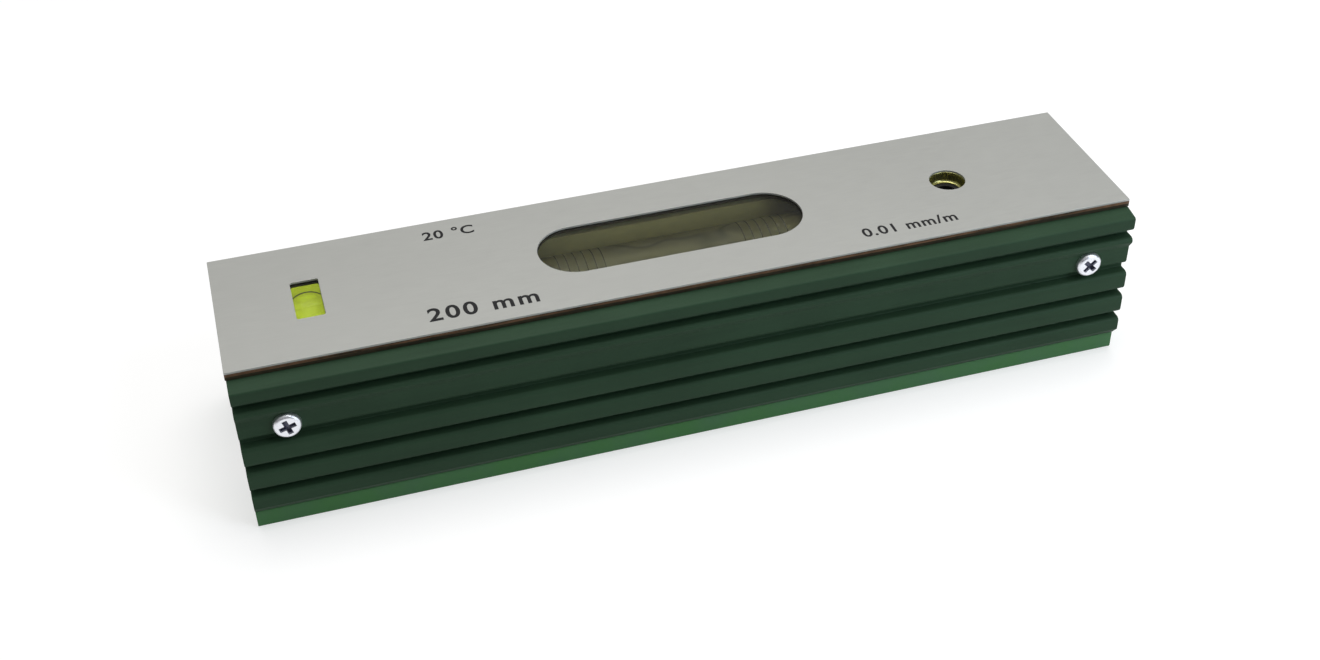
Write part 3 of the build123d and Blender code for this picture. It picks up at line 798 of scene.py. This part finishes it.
class LEVEL_OT_mark_plate(LevelOperator, bpy.types.Operator):
    """Fills plain numbers and units into the face plate"""

    bl_idname = "level.mark_plate"
    bl_label = "Plate marks"

    def execute(self, context):
        settings = context.scene.level_plate
        ink = dull_black("mark_filling", settings.marking)
        for name, (words, x, y, size, spacing) in MARKS.items():
            self.add_mark(name, words, (x, y), size, spacing, ink, settings)
        return {"FINISHED"}

    def add_mark(self, name, words, place, size, spacing, ink, settings):
        """Plain words lying on the face plate, centred on a place."""
        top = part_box("face_plate")[1].z
        curve = bpy.data.curves.new(name, "FONT")
        curve.body = words
        curve.size = size
        curve.align_x = "CENTER"
        curve.align_y = "CENTER"
        curve.space_character = spacing
        curve.offset = settings.mark_boldness * size
        curve.extrude = settings.mark_height
        text = bpy.data.objects.new(name, curve)
        bpy.context.scene.collection.objects.link(text)
        bpy.context.view_layer.update()
        mesh = bpy.data.meshes.new_from_object(text)
        bpy.data.objects.remove(text)
        bpy.data.curves.remove(curve)
        mesh.transform(Matrix.Translation((*place, top)))
        weld(mesh)
        add_piece(name, mesh, ink, BASE, "plug")


class LEVEL_OT_make_windows(LevelOperator, bpy.types.Operator):
    """Gives the two panes their clear finish"""

    bl_idname = "level.make_windows"
    bl_label = "Panes"

    def execute(self, context):
        settings = context.scene.level_vials
        pane = clear_solid("clear_pane", settings.pane_tint, PANE_IOR, 6 * MM,
                           roughness=0.02, waviness=0.0005 * MM)
        give(pane, "main_window", "cross_window")
        return {"FINISHED"}


class LEVEL_OT_make_main_vial(LevelOperator, bpy.types.Operator):
    """Makes the long ground tube, its liquid with the bubble, and its graduations"""

    bl_idname = "level.make_main_vial"
    bl_label = "Main vial"

    def execute(self, context):
        settings = context.scene.level_vials
        centre, (half_length, radius, _), *_ = node_box("main_vial_glass")
        bore = radius - settings.main_wall
        middle = node_box("main_window")[0][0]
        self.make_tube(settings, half_length, radius, bore, centre)
        self.fill_tube(settings, bore, centre, middle)
        self.graduate(settings, radius, centre, middle)
        give(dull_black("plug_rubber", (0.02, 0.02, 0.018)), "main_vial_plugs")
        give(cast_cement("olive_cement", settings.dark_cement), "main_vial_bedding")
        give(cast_cement("pale_cement", settings.cement), "cross_vial_bedding")
        return {"FINISHED"}

    def make_tube(self, settings, half, radius, bore, centre):
        """The tube: its wall's outline, with a quarter round at each corner, turned about X."""
        lip = 0.3 * MM
        wall = np.concatenate([
            arc(-half + lip, radius - lip, lip, -90, 0), arc(half - lip, radius - lip, lip, 0, 90),
            arc(half - lip, bore + lip, lip, 90, 180), arc(-half + lip, bore + lip, lip, 180, 270)])
        wall = np.concatenate([wall, wall[:1]])
        tube = new_mesh("main_vial_tube", [revolved(wall, 128, centre, "X")])
        glass = clear_solid("ground_glass", settings.ground_glass, GLASS_IOR, 9 * MM,
                            roughness=0.38, waviness=0.001 * MM, streaks=0.55)
        add_piece("main_vial_tube", tube, glass, CARRIER, "vial_glass", "main_vial_glass")

    def fill_tube(self, settings, bore, centre, middle):
        """The liquid, which wets the bore, with its bubble under the middle of the window."""
        own_centre, half = node_box("main_vial_liquid")[:2]
        bubble = (settings.bubble_length, settings.bubble_depth, middle - own_centre[0], settings.meniscus)
        shell = liquid_shell((own_centre[0], centre[1], centre[2]), "X", half[0],
                             bore + WETTING, 0.05 * MM, bubble, 192, 150)
        liquid = new_mesh("main_vial_filling", [shell])
        filling = clear_solid("olive_liquid", settings.main_liquid, LIQUID_IOR, 5 * MM, clearness=0.45)
        add_piece("main_vial_filling", liquid, filling, CARRIER, "main_liquid", "main_vial_liquid")

    def graduate(self, settings, radius, centre, middle):
        """The graduations: from each end of the bubble outwards, the first one longer than the rest."""
        count = settings.divisions
        steps = np.arange(count) * settings.division + settings.bubble_length / 2
        places = np.concatenate([-steps, steps]) + (middle - centre[0])
        reach = np.radians(np.tile(np.where(np.arange(count) == 0, 44, 34), 2))
        bands = enamel_lines(centre, "X", radius, places, settings.line_width, reach)
        lines = new_mesh("main_vial_graduations", bands, smooth=False)
        enamel = dull_black("graduation_enamel", (0.01, 0.01, 0.01))
        add_piece("main_vial_graduations", lines, enamel, CARRIER, "plug")


class LEVEL_OT_make_cross_vial(LevelOperator, bpy.types.Operator):
    """Makes the small sealed vial, its yellow-green liquid with the bubble, and its two rings"""

    bl_idname = "level.make_cross_vial"
    bl_label = "Cross vial"

    def execute(self, context):
        settings = context.scene.level_vials
        centre, (radius, half_length, _), *_ = node_box("cross_vial_glass")
        wall = settings.cross_wall
        edge = 1.6 * MM
        inside = (half_length - wall, radius - wall, edge - wall)
        outer = revolved(bar_profile(half_length, radius, edge), 96, centre, "Y")
        inner = revolved(bar_profile(*inside)[::-1], 96, centre, "Y")
        shell = new_mesh("cross_vial_shell", [outer, inner])
        glass = clear_solid("small_vial_glass", settings.glass_tint, GLASS_IOR, 9 * MM,
                            roughness=0.03, waviness=0.001 * MM)
        add_piece("cross_vial_shell", shell, glass, BASE, "vial_glass", "cross_vial_glass")

        bubble = (settings.cross_bubble_length, settings.cross_bubble_depth, 0, settings.meniscus)
        points = liquid_shell(centre, "Y", inside[0], inside[1] + WETTING, inside[2], bubble, 144, 90)
        liquid = new_mesh("cross_vial_filling", [points])
        # The small vial's liquid gets a painted glow: emission that lights it where the plate shades it.
        filling = clear_solid("yellow_green_liquid", settings.cross_liquid, LIQUID_IOR, 5 * MM,
                              clearness=0.68, painted_glow=0.27)
        add_piece("cross_vial_filling", liquid, filling, BASE, "cross_liquid", "cross_vial_liquid")

        bands = enamel_lines(centre, "Y", radius, (-settings.ring_place, settings.ring_place),
                             settings.ring_width, np.radians((80, 80)))
        rings = new_mesh("cross_vial_rings", bands, smooth=False)
        add_piece("cross_vial_rings", rings, bpy.data.materials["graduation_enamel"], BASE, "plug")
        return {"FINISHED"}


class LEVEL_OT_make_adjuster(LevelOperator, bpy.types.Operator):
    """Threads the adjusting screw and finishes the holder, nut, bridge, spring and pivot"""

    bl_idname = "level.make_adjuster"
    bl_label = "Holder and adjuster"

    def execute(self, context):
        settings = context.scene.level_adjuster
        steel = turned_metal("turned_steel", settings.steel, roughness=0.3)
        black = dull_black("blackened_steel", settings.black_steel)
        holder = turned_metal("dull_brass", settings.holder_brass, roughness=0.5,
                              scale=(0.2, 1, 1), size=0.5 * MM, metallic=0.5)
        brass = turned_metal("turned_brass", settings.brass, roughness=0.3)
        self.turn_bush(settings, brass)
        self.turn_screw(settings, black)
        give(holder, "vial_holder")
        give(brass, "adjusting_nut")
        give(black, "adjuster_bridge")
        give(steel, "adjusting_spring", "thrust_washer", "pivot_pin",
             "pivot_washers", "bridge_screws", "board_screws")
        return {"FINISHED"}

    def turn_bush(self, settings, brass):
        """The bush of the access hole: a ring whose bore flares inwards along a quarter round at its foot."""
        centre, (outer, _, half), *_ = node_box("access_bush")
        bore, flare, edge = outer - settings.bush_wall, settings.bush_round, 0.15 * MM
        profile = np.concatenate([
            [[-half, outer]],
            arc(half - edge, outer - edge, edge, 0, 90),
            arc(half - edge, bore + edge, edge, 90, 180),
            arc(-half + flare + edge, bore - flare, flare, 0, -90),
            [[-half, bore - flare], [-half, outer]]])
        ring = new_mesh("access_bush_turned", [revolved(profile, 96, centre, "Z")])
        add_piece("access_bush_turned", ring, brass, BASE, "brass", "access_bush")

    def turn_screw(self, settings, steel):
        """The adjusting screw: its thread, its pilot, and its collar with the hexagon socket."""
        centre, half, low, high = node_box("adjusting_screw")
        collar_low, thread_low = high[2] - settings.collar_height, low[2] + settings.pilot_length
        overlap = 0.05 * MM
        thread = thread_shell(centre, thread_low, collar_low + overlap,
                              settings.shank - settings.thread_depth, settings.thread_depth, settings.pitch)
        pilot_half = (settings.pilot_length + settings.pitch) / 2
        pilot = revolved(bar_profile(pilot_half, settings.pilot, 0.3 * MM), 48,
                         (centre[0], centre[1], low[2] + pilot_half), "Z")
        collar = collar_shell(centre, collar_low, high[2], half[0], settings.socket, settings.socket_depth)
        screw = new_mesh("adjusting_screw_threaded", [thread, pilot, collar])
        add_piece("adjusting_screw_threaded", screw, steel, ADJUSTER, "black_steel", "adjusting_screw")


class LEVEL_OT_finish_fasteners(LevelOperator, bpy.types.Operator):
    """Plates the four screws of the covers with zinc"""

    bl_idname = "level.finish_fasteners"
    bl_label = "Cover screws"

    def execute(self, context):
        give(zinc_plating(context.scene.level_fasteners), "cover_screws")
        return {"FINISHED"}


class LEVEL_OT_build_studio(LevelOperator, bpy.types.Operator):
    """Lays the floor, hangs the lamps and sets the camera"""

    bl_idname = "level.build_studio"
    bl_label = "Studio"

    def execute(self, context):
        settings = context.scene.level_studio
        self.lay_floor(settings)
        self.light_sky(context.scene, settings)
        for name, (place, size, colour) in LAMPS.items():
            self.hang_lamp(f"{name}_lamp", place, size, getattr(settings, f"{name}_power"), colour)
        self.set_camera(context.scene, settings)
        context.scene.view_settings.view_transform = "Standard"
        return {"FINISHED"}

    def lay_floor(self, settings):
        """A wide floor just below the resting face."""
        half_size, height = 3.0, -0.02 * MM
        mesh = bpy.data.meshes.new("studio_floor")
        corners = [(x * half_size, y * half_size, height) for x, y in ((-1, -1), (1, -1), (1, 1), (-1, 1))]
        mesh.from_pydata(corners, [], [(0, 1, 2, 3)])
        floor = bpy.data.objects.new("studio_floor", mesh)
        bpy.context.scene.collection.objects.link(floor)
        mesh.materials.append(studio_floor(settings))

    def light_sky(self, scene, settings):
        """Soft light all round, brighter overhead than at the horizon."""
        world = bpy.data.worlds.new("studio_sky")
        world.use_nodes = True
        tree = world.node_tree
        tree.nodes.clear()
        direction = add_node(tree, "ShaderNodeTexCoord").outputs["Generated"]
        height = add_node(tree, "ShaderNodeSeparateXYZ", {0: direction}).outputs["Z"]
        rise = calculate(tree, "MULTIPLY", height, height)
        strength = spread(tree, rise, 0, 1, settings.horizon, settings.zenith)
        light = add_node(tree, "ShaderNodeBackground", {"Color": (1.0, 1.0, 1.0), "Strength": strength})
        add_node(tree, "ShaderNodeOutputWorld", {"Surface": light.outputs[0]})
        scene.world = world

    def hang_lamp(self, name, place, size, power, colour):
        """A square soft lamp that points at the level's middle."""
        lamp = bpy.data.lights.new(name, "AREA")
        lamp.size = size
        lamp.energy = power
        lamp.color = colour
        holder = bpy.data.objects.new(name, lamp)
        holder.location = place
        towards = Vector((0, 0, 20 * MM)) - holder.location
        holder.rotation_euler = towards.to_track_quat("-Z", "Y").to_euler()
        bpy.context.scene.collection.objects.link(holder)

    def set_camera(self, scene, settings):
        """The camera at the photograph's viewing angle."""
        forward = math.cos(settings.elevation)
        direction = Vector((math.sin(settings.azimuth) * forward, math.cos(settings.azimuth) * forward,
                            -math.sin(settings.elevation)))
        camera = bpy.data.cameras.new("camera")
        camera.lens = settings.lens
        camera.sensor_width = 36
        camera.clip_start = 0.01
        holder = bpy.data.objects.new("camera", camera)
        turn = direction.to_track_quat("-Z", "Y").to_matrix() @ Matrix.Rotation(-settings.roll, 3, "Z")
        holder.matrix_world = Matrix.Translation(
            Vector(settings.aim) - direction * settings.distance) @ turn.to_4x4()
        scene.collection.objects.link(holder)
        scene.camera = holder


OPERATORS = (
    LEVEL_OT_finish_casting, LEVEL_OT_finish_covers, LEVEL_OT_finish_plate, LEVEL_OT_mark_plate,
    LEVEL_OT_make_windows, LEVEL_OT_make_main_vial, LEVEL_OT_make_cross_vial, LEVEL_OT_make_adjuster,
    LEVEL_OT_finish_fasteners, LEVEL_OT_build_studio)


class VIEW3D_PT_level(bpy.types.Panel):
    """Lists the level's operators and settings"""

    bl_idname = "VIEW3D_PT_level"
    bl_label = "Precision level"
    bl_space_type = "VIEW_3D"
    bl_region_type = "UI"
    bl_category = "Level"

    def draw(self, context):
        for operator in OPERATORS:
            self.layout.operator(operator.bl_idname)
        for name, group in SETTINGS.items():
            box = self.layout.box()
            for key in group.__annotations__:
                box.prop(getattr(context.scene, name), key)


CLASSES = (*SETTINGS.values(), *OPERATORS, VIEW3D_PT_level)


def register():
    """Registers the classes and hangs the settings on the scene."""
    for part in CLASSES:
        bpy.utils.register_class(part)
    for name, group in SETTINGS.items():
        setattr(bpy.types.Scene, name, PointerProperty(type=group))


def unregister():
    """Takes the settings and the classes away again."""
    for name in SETTINGS:
        delattr(bpy.types.Scene, name)
    for part in reversed(CLASSES):
        bpy.utils.unregister_class(part)


def main():
    """Builds the whole level and its studio."""
    register()
    for operator in OPERATORS:
        group, name = operator.bl_idname.split(".")
        getattr(getattr(bpy.ops, group), name)()
    bpy.context.view_layer.update()


if __name__ == "__main__":
    main()
